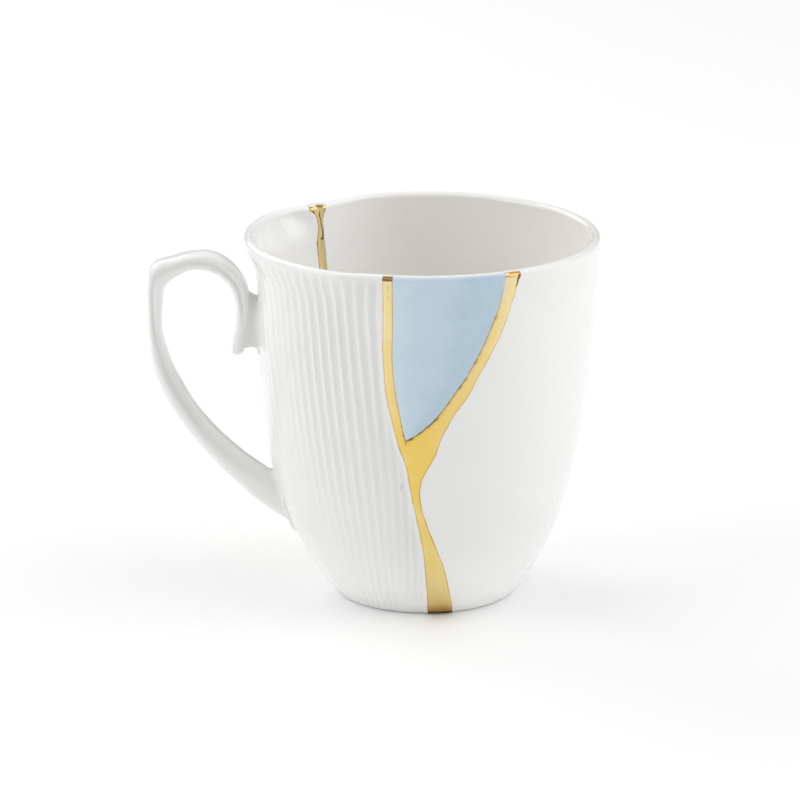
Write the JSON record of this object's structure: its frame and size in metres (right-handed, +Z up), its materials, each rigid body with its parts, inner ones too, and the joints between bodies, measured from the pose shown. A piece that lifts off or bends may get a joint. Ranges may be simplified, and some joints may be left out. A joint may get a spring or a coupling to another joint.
{
  "type": "kintsugi mug",
  "caption": "Footed porcelain mug with a scrolled handle, mended from a fluted, a plain white and a pale blue shard by a branching gold seam.",
  "frame": {"origin": "on the cup's axis, in the plane that the mug stands on", "axes": "+Z up along the cup's axis, the handle points along -X, and -Y faces the picture's camera"},
  "size_m": [0.1202, 0.092, 0.0983],
  "materials": {
    "fluted_white_glaze": "glossy transparent glaze on white porcelain, greyer in the flutes",
    "plain_white_glaze": "glossy transparent glaze on white porcelain",
    "pale_blue_glaze": "glossy pale sky-blue glaze outside, white inside",
    "gold_lustre": "polished gold over dark lacquer, brown at its edges and over the lip"
  },
  "bodies": {
    "root": {"fluted_shard_with_handle": "fluted_white_glaze", "plain_shard": "plain_white_glaze", "blue_shard": "pale_blue_glaze", "gold_seam": "gold_lustre"}
  },
  "joints": []
}
